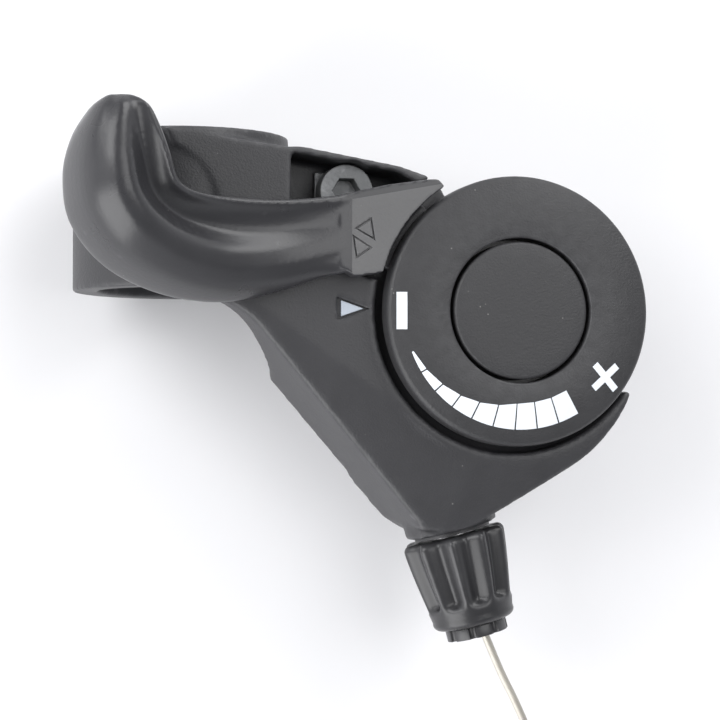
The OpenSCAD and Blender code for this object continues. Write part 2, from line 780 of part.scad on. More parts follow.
module adjuster_knob() {
    color("#262628") on_adjuster() difference() {
        rotate_extrude() polygon(concat(
            [[adj_bolt_r + run, 0], [knob_r - 1.1, 0]],
            arc([knob_r - 1, 1.4], 1, -60, 10, 4),
            [[knob_r - 0.25, 3.6], [(knob_r + knob_end_r) / 2 + 0.2, knob_len * 0.68]],
            arc([knob_end_r - 0.8, knob_len - 0.8], 0.8, 15, 90, 4),
            [[adj_bolt_r + run, knob_len]]
        ));
        for (i = [0 : flute_count - 1]) rotate([0, 0, i * 360 / flute_count])
            translate([knob_r + 0.55, 0, -0.6]) rotate([0, -9.5, 0]) {
                cylinder(r = 1.35, h = knob_len - 1.4, $fn = 24);
                translate([0, 0, knob_len - 1.4]) sphere(r = 1.35, $fn = 24);
            }
    }
}

module adjuster_bolt() {
    color("#9fa1a4") on_adjuster() difference() {
        union() {
            translate([0, 0, -insert_len + 0.5]) cylinder(r = adj_bolt_r, h = exit_s + insert_len - 1);
            translate([0, 0, knob_len + 0.15]) cylinder(r = collar_r, h = collar_len);
        }
        translate([0, 0, -20]) cylinder(r = 0.9, h = 60);
        translate([0, 0, seat_s]) cylinder(r = seat_r, h = 20);
        for (i = [0 : 7]) rotate([0, 0, i * 45 + 22.5])
            translate([collar_r + 0.1, 0, knob_len]) cylinder(r = 0.55, h = 9, $fn = 24);
        translate([0, -0.7, seat_s + 1]) cube([9, 1.4, 20]);
    }
}

// ---------- free wire ----------

module gear_wire() {
    color("#b8b3a5") swept_wire(smooth_rows(route, 4), 8);
}

module wire_coil() {
    color("#b8b3a5") translate([coil_at[0], coil_at[1], floor_z]) tube(coil_out, coil_in, coil_h);
}

module coil_tie() {
    color("#dcdcd8") translate([coil_at[0], coil_at[1], floor_z]) rotate([0, 0, 215])
        difference() {
            translate([coil_in - 1, -1.5, 0]) cube([coil_out - coil_in + 2, 3, coil_h + 1]);
            translate([coil_in, -3, -1]) cube([coil_out - coil_in, 6, coil_h + 1]);
        }
}

module wire_end_cap() {
    color("#c4c6c9") translate([coil_at[0] - 3.2, coil_at[1] + 4.3, floor_z + end_cap_r])
        rotate([0, 90, 0]) difference() {
            cylinder(r = end_cap_r, h = 7);
            translate([0, 0, -1]) cylinder(r = wire_d / 2, h = 6.5);
        }
}

housing();
base_cover();
cover_screws();
clamp_bolt();
clamp_washer();
clamp_nut();
pivot_axle();
pivot_bush();
thrust_washer();
keeper_washer();
keeper_screw();
click_spring();
spring_pin();
pointer_inlay();
thread_insert();
detent_washer();
inner_wire();
lever();
indicator_disc();
scale_marks();
centre_cap();
cable_drum();
index_plate();
wire_nipple();
wound_wire();
adjuster_knob();
adjuster_bolt();
gear_wire();
wire_coil();
coil_tie();
wire_end_cap();
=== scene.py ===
"""Thumb shifter for a bicycle: clamp, housing, dial, thumb lever, cable adjuster and gear wire."""
import json
import logging
import math
from dataclasses import dataclass, field
from enum import Enum
from typing import Iterable, Optional, Sequence

import bmesh
import bpy
from mathutils import Matrix, Vector


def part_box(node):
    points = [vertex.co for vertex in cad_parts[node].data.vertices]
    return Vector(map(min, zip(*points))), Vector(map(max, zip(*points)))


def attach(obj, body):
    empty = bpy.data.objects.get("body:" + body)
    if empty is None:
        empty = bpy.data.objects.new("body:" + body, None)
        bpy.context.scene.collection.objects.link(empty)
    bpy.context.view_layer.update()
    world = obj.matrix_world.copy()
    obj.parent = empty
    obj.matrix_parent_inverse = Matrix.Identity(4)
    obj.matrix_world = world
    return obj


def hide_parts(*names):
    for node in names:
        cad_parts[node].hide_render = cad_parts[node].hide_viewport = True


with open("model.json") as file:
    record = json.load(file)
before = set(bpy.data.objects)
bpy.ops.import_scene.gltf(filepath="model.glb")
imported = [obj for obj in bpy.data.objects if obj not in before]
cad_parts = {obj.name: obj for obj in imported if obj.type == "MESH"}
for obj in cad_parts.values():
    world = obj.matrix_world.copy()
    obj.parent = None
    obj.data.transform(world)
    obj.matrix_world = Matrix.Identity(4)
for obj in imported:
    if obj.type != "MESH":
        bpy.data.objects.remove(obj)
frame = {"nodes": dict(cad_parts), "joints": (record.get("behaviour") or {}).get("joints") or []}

logging.basicConfig(level=logging.INFO, format="%(message)s")
log = logging.getLogger("shifter")

MM = 0.001
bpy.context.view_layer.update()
Point = Sequence[float]


class Body(Enum):
    """The bodies that pieces ride on."""

    HOUSING = "shifter_body"
    LEVER = "lever_group"
    KNOB = "knob"
    BOLT = "barrel_bolt"


def mm(*values: float) -> Vector:
    """A point given in millimetres, as a vector in metres."""
    return Vector(values) * MM


# ---------- mesh helpers ----------


def link(mesh: bpy.types.Mesh, name: str) -> bpy.types.Object:
    """Puts a mesh in the scene as an object at the origin.

    Args:
        mesh: The finished mesh.
        name: The piece's name.

    Returns:
        The new object.
    """
    obj = bpy.data.objects.new(name, mesh)
    bpy.context.scene.collection.objects.link(obj)
    return obj


def smooth_all(mesh: bpy.types.Mesh) -> None:
    """Shades every face of a mesh smooth."""
    mesh.polygons.foreach_set("use_smooth", [True] * len(mesh.polygons))
    mesh.update()


def to_object(bm: bmesh.types.BMesh, name: str, smooth: bool = True) -> bpy.types.Object:
    """Ends a bmesh and makes its object, with the faces turned outwards.

    Args:
        bm: The bmesh, which is freed.
        name: The piece's name.
        smooth: Whether its faces are shaded smooth.

    Returns:
        The new object.
    """
    bmesh.ops.recalc_face_normals(bm, faces=bm.faces)
    mesh = bpy.data.meshes.new(name)
    bm.to_mesh(mesh)
    bm.free()
    if smooth:
        smooth_all(mesh)
    return link(mesh, name)


def cad_copy(node: str, merge: float = 1e-6) -> bmesh.types.BMesh:
    """A merged copy of a CAD node's mesh.

    Args:
        node: The node's name.
        merge: Distance in metres under which its loose corners are joined.

    Returns:
        A closed bmesh.
    """
    bm = bmesh.new()
    bm.from_mesh(frame["nodes"][node].data)
    bmesh.ops.remove_doubles(bm, verts=bm.verts, dist=merge)
    bmesh.ops.dissolve_degenerate(bm, edges=bm.edges, dist=merge)
    return bm


def applied(obj: bpy.types.Object) -> bpy.types.Object:
    """Turns an object's modifiers into its mesh and drops them."""
    graph = bpy.context.evaluated_depsgraph_get()
    mesh = bpy.data.meshes.new_from_object(obj.evaluated_get(graph))
    obj.modifiers.clear()
    obj.data = mesh
    return obj


def add(obj: bpy.types.Object, kind: str, **settings: object) -> bpy.types.Modifier:
    """Adds a modifier with its settings.

    Args:
        obj: The object.
        kind: The modifier's type.
        **settings: Its properties.

    Returns:
        The modifier.
    """
    modifier = obj.modifiers.new(kind.lower(), kind)
    for key, value in settings.items():
        setattr(modifier, key, value)
    return modifier


def softened(obj: bpy.types.Object, voxel: float, passes: int, triangles: int) -> bpy.types.Object:
    """Rounds every edge of a closed shape as a mould does.

    Args:
        obj: The object.
        voxel: Cell size of the new surface, in metres.
        passes: How many times the surface is smoothed.
        triangles: The most triangles that it may keep.

    Returns:
        The same object, with a new mesh.
    """
    add(obj, "REMESH", mode="VOXEL", voxel_size=voxel, use_smooth_shade=True)
    add(obj, "SMOOTH", factor=0.5, iterations=passes)
    applied(obj)
    count = 2 * len(obj.data.polygons)
    if count > triangles:
        add(obj, "DECIMATE", ratio=triangles / count)
        applied(obj)
    smooth_all(obj.data)
    return obj


def bevelled(bm: bmesh.types.BMesh, width: float, angle: float = 35.0, segments: int = 3) -> None:
    """Rounds the sharp edges of a bmesh.

    Args:
        bm: The bmesh.
        width: Width of the round, in metres.
        angle: Only edges that turn by more than this many degrees are rounded.
        segments: How many faces make the round.
    """
    flat = math.radians(4)
    bmesh.ops.dissolve_limit(bm, angle_limit=flat, verts=bm.verts, edges=bm.edges)
    limit = math.radians(angle)
    sharp = [e for e in bm.edges if e.is_manifold and e.calc_face_angle(0) > limit]
    bmesh.ops.bevel(bm, geom=sharp, offset=width, affect="EDGES", segments=segments, profile=0.5,
                    material=-1, clamp_overlap=True)


def skin(rings: Sequence[Sequence[Vector]], name: str, close: bool = True,
         along: Optional[Sequence[float]] = None) -> bpy.types.Object:
    """A surface drawn out ring by ring, with closed ends.

    Args:
        rings: Rings of points, all with the same count.
        name: The piece's name.
        close: Whether the two ends are filled.
        along: Distance of each ring along the piece, which goes to its UV map.

    Returns:
        The new object.
    """
    sides = len(rings[0])
    bm = bmesh.new()
    made = bmesh.ops.create_circle(bm, cap_ends=False, segments=sides, radius=1.0)
    row = list(made["verts"])
    for vert, place in zip(row, rings[0]):
        vert.co = place
    ranks = {v: (0, i) for i, v in enumerate(row)}
    first = row
    for k, ring in enumerate(rings[1:], start=1):
        edges = [e for a, b in zip(row, row[1:] + row[:1]) for e in a.link_edges if e.other_vert(a) is b]
        grown = bmesh.ops.extrude_edge_only(bm, edges=edges)
        old = set(row)
        new = {}
        for vert in (g for g in grown["geom"] if isinstance(g, bmesh.types.BMVert)):
            partner = next(e.other_vert(vert) for e in vert.link_edges if e.other_vert(vert) in old)
            new[partner] = vert
        row = [new[v] for v in row]
        for i, (vert, place) in enumerate(zip(row, ring)):
            vert.co = place
            ranks[vert] = (k, i)
    if close:
        for end in (set(first), set(row)):
            rim = [e for e in bm.edges if e.is_boundary and e.verts[0] in end]
            bmesh.ops.contextual_create(bm, geom=rim)
    if along:
        layer = bm.loops.layers.uv.new("along")
        for face in bm.faces:
            wraps = {ranks[v][1] for v in face.verts} >= {0, sides - 1} and len(face.verts) == 4
            for loop in face.loops:
                k, i = ranks[loop.vert]
                turn = 1.0 if wraps and i == 0 else i / sides
                loop[layer].uv = (turn, along[k] / MM)
    return to_object(bm, name)


def turned(profile: Iterable[Point], centre: Vector, name: str, steps: int = 192) -> bpy.types.Object:
    """A round piece: a closed outline spun about an upright axis.

    Args:
        profile: Radius and height of each corner of the outline, in metres.
        centre: A point on the axis.
        name: The piece's name.
        steps: Faces in one turn.

    Returns:
        The new object.
    """
    bm = bmesh.new()
    verts = [bm.verts.new((centre.x + r, centre.y, z)) for r, z in profile]
    edges = [bm.edges.new(pair) for pair in zip(verts, verts[1:] + verts[:1])]
    bmesh.ops.spin(bm, geom=verts + edges, cent=(centre.x, centre.y, 0), axis=(0, 0, 1),
                   angle=math.tau, steps=steps, use_merge=True)
    bmesh.ops.remove_doubles(bm, verts=bm.verts, dist=1e-6)
    return to_object(bm, name)


def arc(centre: Point, radius: float, start: float, end: float,
        count: int = 6) -> list[tuple[float, float]]:
    """Points of an arc in a plane.

    Args:
        centre: Its centre.
        radius: Its radius.
        start: Angle of the first point, in degrees.
        end: Angle of the last point, in degrees.
        count: Number of steps.

    Returns:
        The points, ends included.
    """
    angles = [math.radians(start + (end - start) * i / count) for i in range(count + 1)]
    return [(centre[0] + radius * math.cos(a), centre[1] + radius * math.sin(a)) for a in angles]


def prism(outline: Sequence[Point], low: float, high: float, name: str) -> bpy.types.Object:
    """A straight upright block with a flat outline.

    Args:
        outline: Its corners, in metres.
        low: Height of its underside.
        high: Height of its top.
        name: The object's name.

    Returns:
        The new object.
    """
    bm = bmesh.new()
    face = bm.faces.new([bm.verts.new((x, y, low)) for x, y in outline])
    grown = bmesh.ops.extrude_face_region(bm, geom=[face])
    verts = [g for g in grown["geom"] if isinstance(g, bmesh.types.BMVert)]
    bmesh.ops.translate(bm, verts=verts, vec=(0, 0, high - low))
    return to_object(bm, name, smooth=False)


def cut(target: bpy.types.Object, tool: bpy.types.Object, operation: str = "DIFFERENCE") -> None:
    """Joins or cuts one object with another, which is then deleted."""
    add(target, "BOOLEAN", object=tool, operation=operation, solver="EXACT")
    applied(target)
    bpy.data.objects.remove(tool)


def between(a: Vector, b: Vector, c: Vector, d: Vector, t: float) -> Vector:
    """A point on the smooth curve from b to c, with a and d as its neighbours."""
    return b + 0.5 * t * (c - a + t * (2 * a - 5 * b + 4 * c - d + t * (3 * (b - c) + d - a)))


def smoothed(rows: Sequence[Vector], steps: int) -> list[Vector]:
    """A smooth run through a list of vectors.

    Args:
        rows: The vectors, of any size.
        steps: New rows from one given row to the next.

    Returns:
        The finer list.
    """
    last = len(rows) - 1
    fine = [
        between(rows[max(i - 1, 0)], rows[i], rows[i + 1], rows[min(i + 2, last)], k / steps)
        for i in range(last) for k in range(steps)
    ]
    return fine + [rows[last]]


# ---------- finishes ----------


class Nodes:
    """Adds and joins the nodes of one tree."""

    def __init__(self, tree: bpy.types.NodeTree) -> None:
        """Keeps the tree that it works on."""
        self.tree = tree

    def new(self, kind: str, label: str = "", **inputs: object) -> bpy.types.Node:
        """Adds a node.

        Args:
            kind: Its type, without the ShaderNode prefix.
            label: Its label.
            **inputs: Properties, and input values by name with spaces written as underscores.

        Returns:
            The node.
        """
        node = self.tree.nodes.new("ShaderNode" + kind)
        node.label = label
        for key, value in inputs.items():
            if hasattr(node, key):
                setattr(node, key, value)
            else:
                self.set(node, key.replace("_", " "), value)
        return node

    def set(self, node: bpy.types.Node, socket: object, value: object) -> None:
        """Sets an input, or joins it where the value is another node's output."""
        target = node.inputs[socket]
        if isinstance(value, bpy.types.NodeSocket):
            self.tree.links.new(value, target)
        else:
            target.default_value = value

    def math(self, operation: str, a: object, b: object = 0.0, clamp: bool = False) -> bpy.types.NodeSocket:
        """The result of a Math node on one or two values."""
        node = self.new("Math", operation=operation, use_clamp=clamp)
        self.set(node, 0, a)
        self.set(node, 1, b)
        return node.outputs[0]

    def spread(self, value: object, low: float, high: float,
               to_low: float, to_high: float) -> bpy.types.NodeSocket:
        """The result of a Map Range node."""
        node = self.new("MapRange", Value=value, From_Min=low, From_Max=high,
                        To_Min=to_low, To_Max=to_high)
        return node.outputs[0]

    def mix(self, amount: object, a: object, b: object) -> bpy.types.NodeSocket:
        """The colour between two colours."""
        node = self.new("Mix", data_type="RGBA")
        self.set(node, 0, amount)
        self.set(node, 6, a)
        self.set(node, 7, b)
        return node.outputs[2]


class Effects:
    """Node groups that several finishes share, each built once."""

    def __init__(self) -> None:
        """Builds the groups."""
        self.grain = self.make_grain()
        self.drift = self.make_drift()
        self.wear = self.make_wear()
        self.dust = self.make_dust()
        self.brushed = self.make_brushed()
        self.strands = self.make_strands()

    @staticmethod
    def start(name: str, inputs: dict[str, float],
              outputs: Sequence[str]) -> tuple[Nodes, bpy.types.Node, bpy.types.Node]:
        """Starts a group with a vector input, number inputs and number outputs.

        Args:
            name: The group's name.
            inputs: Its number inputs and their values.
            outputs: Its outputs.

        Returns:
            The tree's helper, the group's input node and its output node.
        """
        tree = bpy.data.node_groups.new(name, "ShaderNodeTree")
        tree.interface.new_socket("Vector", in_out="INPUT", socket_type="NodeSocketVector")
        for key, value in inputs.items():
            socket = tree.interface.new_socket(key, in_out="INPUT", socket_type="NodeSocketFloat")
            socket.default_value = value
        for key in outputs:
            tree.interface.new_socket(key, in_out="OUTPUT", socket_type="NodeSocketFloat")
        return Nodes(tree), tree.nodes.new("NodeGroupInput"), tree.nodes.new("NodeGroupOutput")

    def make_grain(self) -> bpy.types.NodeTree:
        """The fine spark-eroded grain of a moulded part: rounded dimples in two sizes."""
        n, source, sink = self.start("moulded grain", {"Scale": 3000.0, "Coarse": 0.35}, ["Height"])
        fine = n.new("TexNoise", Vector=source.outputs["Vector"], Scale=source.outputs["Scale"], Detail=2.0)
        broad_scale = n.math("MULTIPLY", source.outputs["Scale"], 0.45)
        broad = n.new("TexNoise", Vector=source.outputs["Vector"], Scale=broad_scale, Detail=1.0)
        soft = n.spread(fine.outputs[0], 0.35, 0.65, 0.0, 1.0)
        wide = n.spread(broad.outputs[0], 0.35, 0.65, 0.0, 1.0)
        share = n.math("MULTIPLY", wide, source.outputs["Coarse"])
        n.set(sink, "Height", n.math("ADD", soft, share))
        return n.tree

    def make_drift(self) -> bpy.types.NodeTree:
        """Slow change across a surface, from flow marks and handling."""
        n, source, sink = self.start("surface drift", {"Scale": 90.0}, ["Value"])
        noise = n.new("TexNoise", Vector=source.outputs["Vector"], Scale=source.outputs["Scale"],
                      Detail=4.0, Roughness=0.6, Distortion=0.4)
        n.set(sink, "Value", n.spread(noise.outputs[0], 0.15, 0.85, 0.0, 1.0))
        return n.tree

    def make_wear(self) -> bpy.types.NodeTree:
        """Edges that handling has rubbed, broken up by noise."""
        n, source, sink = self.start("edge wear", {"Sharpness": 0.06, "Breakup": 700.0}, ["Mask"])
        point = n.new("NewGeometry").outputs["Pointiness"]
        raised = n.math("SUBTRACT", point, 0.5)
        edge = n.math("DIVIDE", raised, source.outputs["Sharpness"], clamp=True)
        noise = n.new("TexNoise", Vector=source.outputs["Vector"], Scale=source.outputs["Breakup"],
                      Detail=3.0)
        broken = n.spread(noise.outputs[0], 0.38, 0.62, 0.25, 1.0)
        n.set(sink, "Mask", n.math("MULTIPLY", edge, broken, clamp=True))
        return n.tree

    def make_dust(self) -> bpy.types.NodeTree:
        """Sparse pale specks of dust."""
        n, source, sink = self.start("dust specks", {"Scale": 900.0, "Amount": 0.02}, ["Mask"])
        cells = n.new("TexVoronoi", Vector=source.outputs["Vector"], Scale=source.outputs["Scale"])
        chosen = n.new("TexNoise", Vector=source.outputs["Vector"], Scale=260.0, Detail=1.0)
        near = n.spread(cells.outputs["Distance"], 0.05, 0.12, 1.0, 0.0)
        few = n.spread(chosen.outputs[0], 0.66, 0.7, 0.0, 1.0)
        both = n.math("MULTIPLY", near, few, clamp=True)
        scaled = n.math("MULTIPLY", source.outputs["Amount"], 40.0)
        n.set(sink, "Mask", n.math("MULTIPLY", both, scaled, clamp=True))
        return n.tree

    def make_brushed(self) -> bpy.types.NodeTree:
        """Fine turning marks and pits of machined metal."""
        n, source, sink = self.start("machined marks", {"Scale": 2500.0}, ["Height"])
        split = n.new("SeparateXYZ", Vector=source.outputs["Vector"])
        tall = n.math("MULTIPLY", split.outputs[2], 6.0)
        long = n.new("CombineXYZ", X=split.outputs[0], Y=split.outputs[1], Z=tall)
        lines = n.new("TexNoise", Vector=long.outputs[0], Scale=source.outputs["Scale"], Detail=3.0)
        n.set(sink, "Height", lines.outputs[0])
        return n.tree

    def make_strands(self) -> bpy.types.NodeTree:
        """The twisted strands of a wire rope, on a map of turns and millimetres, with a mask of the grooves
        between strands where shade is painted.
        """
        n, source, sink = self.start("wire strands", {"Count": 12.0, "Lay": 9.0}, ["Height", "Gap"])
        split = n.new("SeparateXYZ", Vector=source.outputs["Vector"])
        around = n.math("MULTIPLY", split.outputs[0], source.outputs["Count"])
        per_mm = n.math("DIVIDE", source.outputs["Count"], source.outputs["Lay"])
        along = n.math("MULTIPLY", split.outputs[1], per_mm)
        phase = n.math("FRACT", n.math("ADD", around, along))
        hump = n.math("SINE", n.math("MULTIPLY", phase, math.pi))
        n.set(sink, "Height", n.math("POWER", hump, 0.5))
        # Mask of the grooves between strands, where shade is painted.
        n.set(sink, "Gap", n.math("SUBTRACT", 1.0, n.math("MULTIPLY", hump, 2.2, clamp=True), clamp=True))
        return n.tree


@dataclass(frozen=True)
class Finish:
    """A finish of one piece: its colours, its gloss and its surface relief."""

    slot: str
    colour: tuple[float, float, float]
    worn: tuple[float, float, float]
    rough: float
    rough_drift: float = 0.08
    grain: float = 3000.0
    depth: float = 0.012
    coarse: float = 0.35
    wear: float = 0.4
    dust: float = 0.01
    metal: float = 0.0
    brushed: bool = False

    def build(self, effects: Effects, name: str) -> bpy.types.Material:
        """Makes the material.

        Args:
            effects: The shared node groups.
            name: The material's name.

        Returns:
            The material.
        """
        material = bpy.data.materials.new(name)
        material.use_nodes = True
        n = Nodes(material.node_tree)
        shader = material.node_tree.nodes["Principled BSDF"]
        place = n.new("TexCoord").outputs["Object"]
        drift = self.use(n, effects.drift, place, Scale=90.0).outputs["Value"]
        edge = self.use(n, effects.wear, place).outputs["Mask"]
        specks = self.use(n, effects.dust, place, Amount=self.dust).outputs["Mask"]
        if self.brushed:
            height = self.use(n, effects.brushed, place, Scale=self.grain).outputs["Height"]
        else:
            relief = self.use(n, effects.grain, place, Scale=self.grain, Coarse=self.coarse)
            height = relief.outputs["Height"]
        dark = tuple(c * 0.86 for c in self.colour) + (1.0,)
        light = tuple(min(c * 1.12, 1.0) for c in self.colour) + (1.0,)
        base = n.mix(drift, dark, light)
        rubbed = n.math("MULTIPLY", edge, self.wear)
        base = n.mix(rubbed, base, self.worn + (1.0,))
        base = n.mix(n.math("MULTIPLY", specks, 0.6), base, (0.55, 0.54, 0.52, 1.0))
        rough = n.spread(drift, 0.0, 1.0, self.rough - self.rough_drift, self.rough + self.rough_drift)
        rough = n.math("SUBTRACT", rough, n.math("MULTIPLY", rubbed, 0.12), clamp=True)
        bump = n.new("Bump", Height=height, Distance=self.depth * MM, Strength=0.8)
        n.set(shader, "Base Color", base)
        n.set(shader, "Roughness", rough)
        n.set(shader, "Normal", bump.outputs["Normal"])
        shader.inputs["Metallic"].default_value = self.metal
        return material

    @staticmethod
    def use(n: Nodes, group: bpy.types.NodeTree, place: bpy.types.NodeSocket,
            **values: float) -> bpy.types.Node:
        """Places a shared group in the material with its own values."""
        node = n.new("Group", node_tree=group, Vector=place)
        for key, value in values.items():
            node.inputs[key].default_value = value
        return node


@dataclass(frozen=True)
class WireFinish:
    """Stranded steel wire: its strands follow the wire's own map, and the grooves between them are painted
    darker as shade.
    """

    slot: str = "wire_steel"
    colour: tuple[float, float, float] = (0.6, 0.57, 0.51)
    # Darker colour of the grooves between strands: painted shade.
    gap_shade: tuple[float, float, float] = (0.2, 0.185, 0.16)
    strands: int = 12
    lay: float = 9.0

    def build(self, effects: Effects, name: str) -> bpy.types.Material:
        """Makes the material.

        Args:
            effects: The shared node groups.
            name: The material's name.

        Returns:
            The material.
        """
        material = bpy.data.materials.new(name)
        material.use_nodes = True
        n = Nodes(material.node_tree)
        shader = material.node_tree.nodes["Principled BSDF"]
        around = n.new("UVMap", uv_map="along").outputs[0]
        twist = Finish.use(n, effects.strands, around, Count=self.strands, Lay=self.lay)
        place = n.new("TexCoord").outputs["Object"]
        drift = Finish.use(n, effects.drift, place, Scale=160.0).outputs["Value"]
        bright = n.mix(drift, tuple(c * 0.85 for c in self.colour) + (1.0,), self.colour + (1.0,))
        # Painted shade: the grooves between the strands are darkened.
        base = n.mix(n.math("MULTIPLY", twist.outputs["Gap"], 0.8), bright, self.gap_shade + (1.0,))
        bump = n.new("Bump", Height=twist.outputs["Height"], Distance=0.05 * MM, Strength=0.8)
        n.set(shader, "Base Color", base)
        n.set(shader, "Roughness", n.spread(drift, 0.0, 1.0, 0.34, 0.5))
        n.set(shader, "Normal", bump.outputs["Normal"])
        shader.inputs["Metallic"].default_value = 0.85
        return material


class Wardrobe:
    """All the finishes, each built when it is first asked for."""

    FINISHES: dict[str, object] = {
        "housing_satin": Finish("body_plastic", (0.03, 0.03, 0.033), (0.1, 0.1, 0.105), 0.46,
                                grain=3600.0, depth=0.02),
        "lever_satin": Finish("lever_plastic", (0.03, 0.03, 0.033), (0.11, 0.11, 0.115), 0.3,
                              grain=2200.0, depth=0.006, wear=0.15),
        "lever_matte": Finish("lever_plastic", (0.1, 0.1, 0.102), (0.16, 0.16, 0.165), 0.5,
                              grain=2600.0, depth=0.02, wear=0.2),
        "dial_matte": Finish("dial_plastic", (0.026, 0.026, 0.028), (0.08, 0.08, 0.085), 0.5,
                             grain=3400.0, depth=0.024, wear=0.35),
        "knob_gloss": Finish("knob_plastic", (0.022, 0.022, 0.024), (0.09, 0.09, 0.095), 0.34,
                             grain=1800.0, depth=0.006, wear=0.4),
        "scale_print": Finish("scale_paint", (0.76, 0.8, 0.86), (0.8, 0.83, 0.88), 0.45,
                              grain=2400.0, depth=0.008, wear=0.0, dust=0.0),
        "inlay_print": Finish("inlay_paint", (0.4, 0.44, 0.5), (0.5, 0.54, 0.6), 0.45,
                              grain=2400.0, depth=0.008, wear=0.0, dust=0.0),
        "tie_nylon": Finish("tie_plastic", (0.74, 0.74, 0.71), (0.85, 0.85, 0.83), 0.45,
                            grain=1500.0, depth=0.01),
        "acetal_white": Finish("acetal", (0.68, 0.66, 0.6), (0.78, 0.76, 0.72), 0.42,
                               grain=1500.0, depth=0.008),
        "steel_zinc": Finish("steel", (0.42, 0.43, 0.44), (0.62, 0.63, 0.64), 0.4, wear=0.6,
                             metal=1.0, grain=2200.0, depth=0.008, brushed=True),
        "steel_grey": Finish("steel", (0.19, 0.195, 0.2), (0.4, 0.405, 0.41), 0.52, wear=0.5,
                             metal=0.75, grain=1900.0, depth=0.03),
        # Steel painted near-black: painted shade for the dark gap beside the knob, used on the detent washer.
        "steel_painted_gap_shade": Finish("steel", (0.035, 0.035, 0.037), (0.12, 0.12, 0.125), 0.5, wear=0.3,
                              metal=0.3, grain=1900.0, depth=0.01),
        "brass_turned": Finish("brass", (0.62, 0.42, 0.17), (0.75, 0.55, 0.28), 0.36, wear=0.5,
                               metal=1.0, grain=2300.0, depth=0.008, brushed=True),
        "alloy_turned": Finish("alloy", (0.62, 0.62, 0.63), (0.8, 0.8, 0.81), 0.34, wear=0.5,
                               metal=1.0, grain=2300.0, depth=0.008, brushed=True),
        "wire_strands": WireFinish(),
    }

    def __init__(self) -> None:
        """Builds the shared effects."""
        self.effects = Effects()
        self.made: dict[str, bpy.types.Material] = {}

    def get(self, name: str) -> bpy.types.Material:
        """The material of that name."""
        if name not in self.made:
            self.made[name] = self.FINISHES[name].build(self.effects, name)
        return self.made[name]

    def dress(self, obj: bpy.types.Object, *names: str) -> bpy.types.Object:
        """Gives an object its materials, in order.

        Args:
            obj: The object.
            *names: Names of the finishes.

        Returns:
            The same object.
        """
        obj.data.materials.clear()
        for name in names:
            obj.data.materials.append(self.get(name))
        return obj

    def settle(self, obj: bpy.types.Object, finish: str, body: Body,
               nodes: Sequence[str]) -> bpy.types.Object:
        """Dresses a new piece, puts it on its body and lets it stand for its CAD nodes.

        Args:
            obj: The piece.
            finish: Name of its finish.
            body: The body that it rides on.
            nodes: The CAD nodes that it replaces.

        Returns:
            The same piece.
        """
        if not obj.data.materials:
            self.dress(obj, finish)
        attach(obj, body.value)
        if nodes:
            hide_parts(*nodes)
        log.info("%s: %d faces on %s", obj.name, len(obj.data.polygons), body.value)
        return obj


# ---------- studio ----------


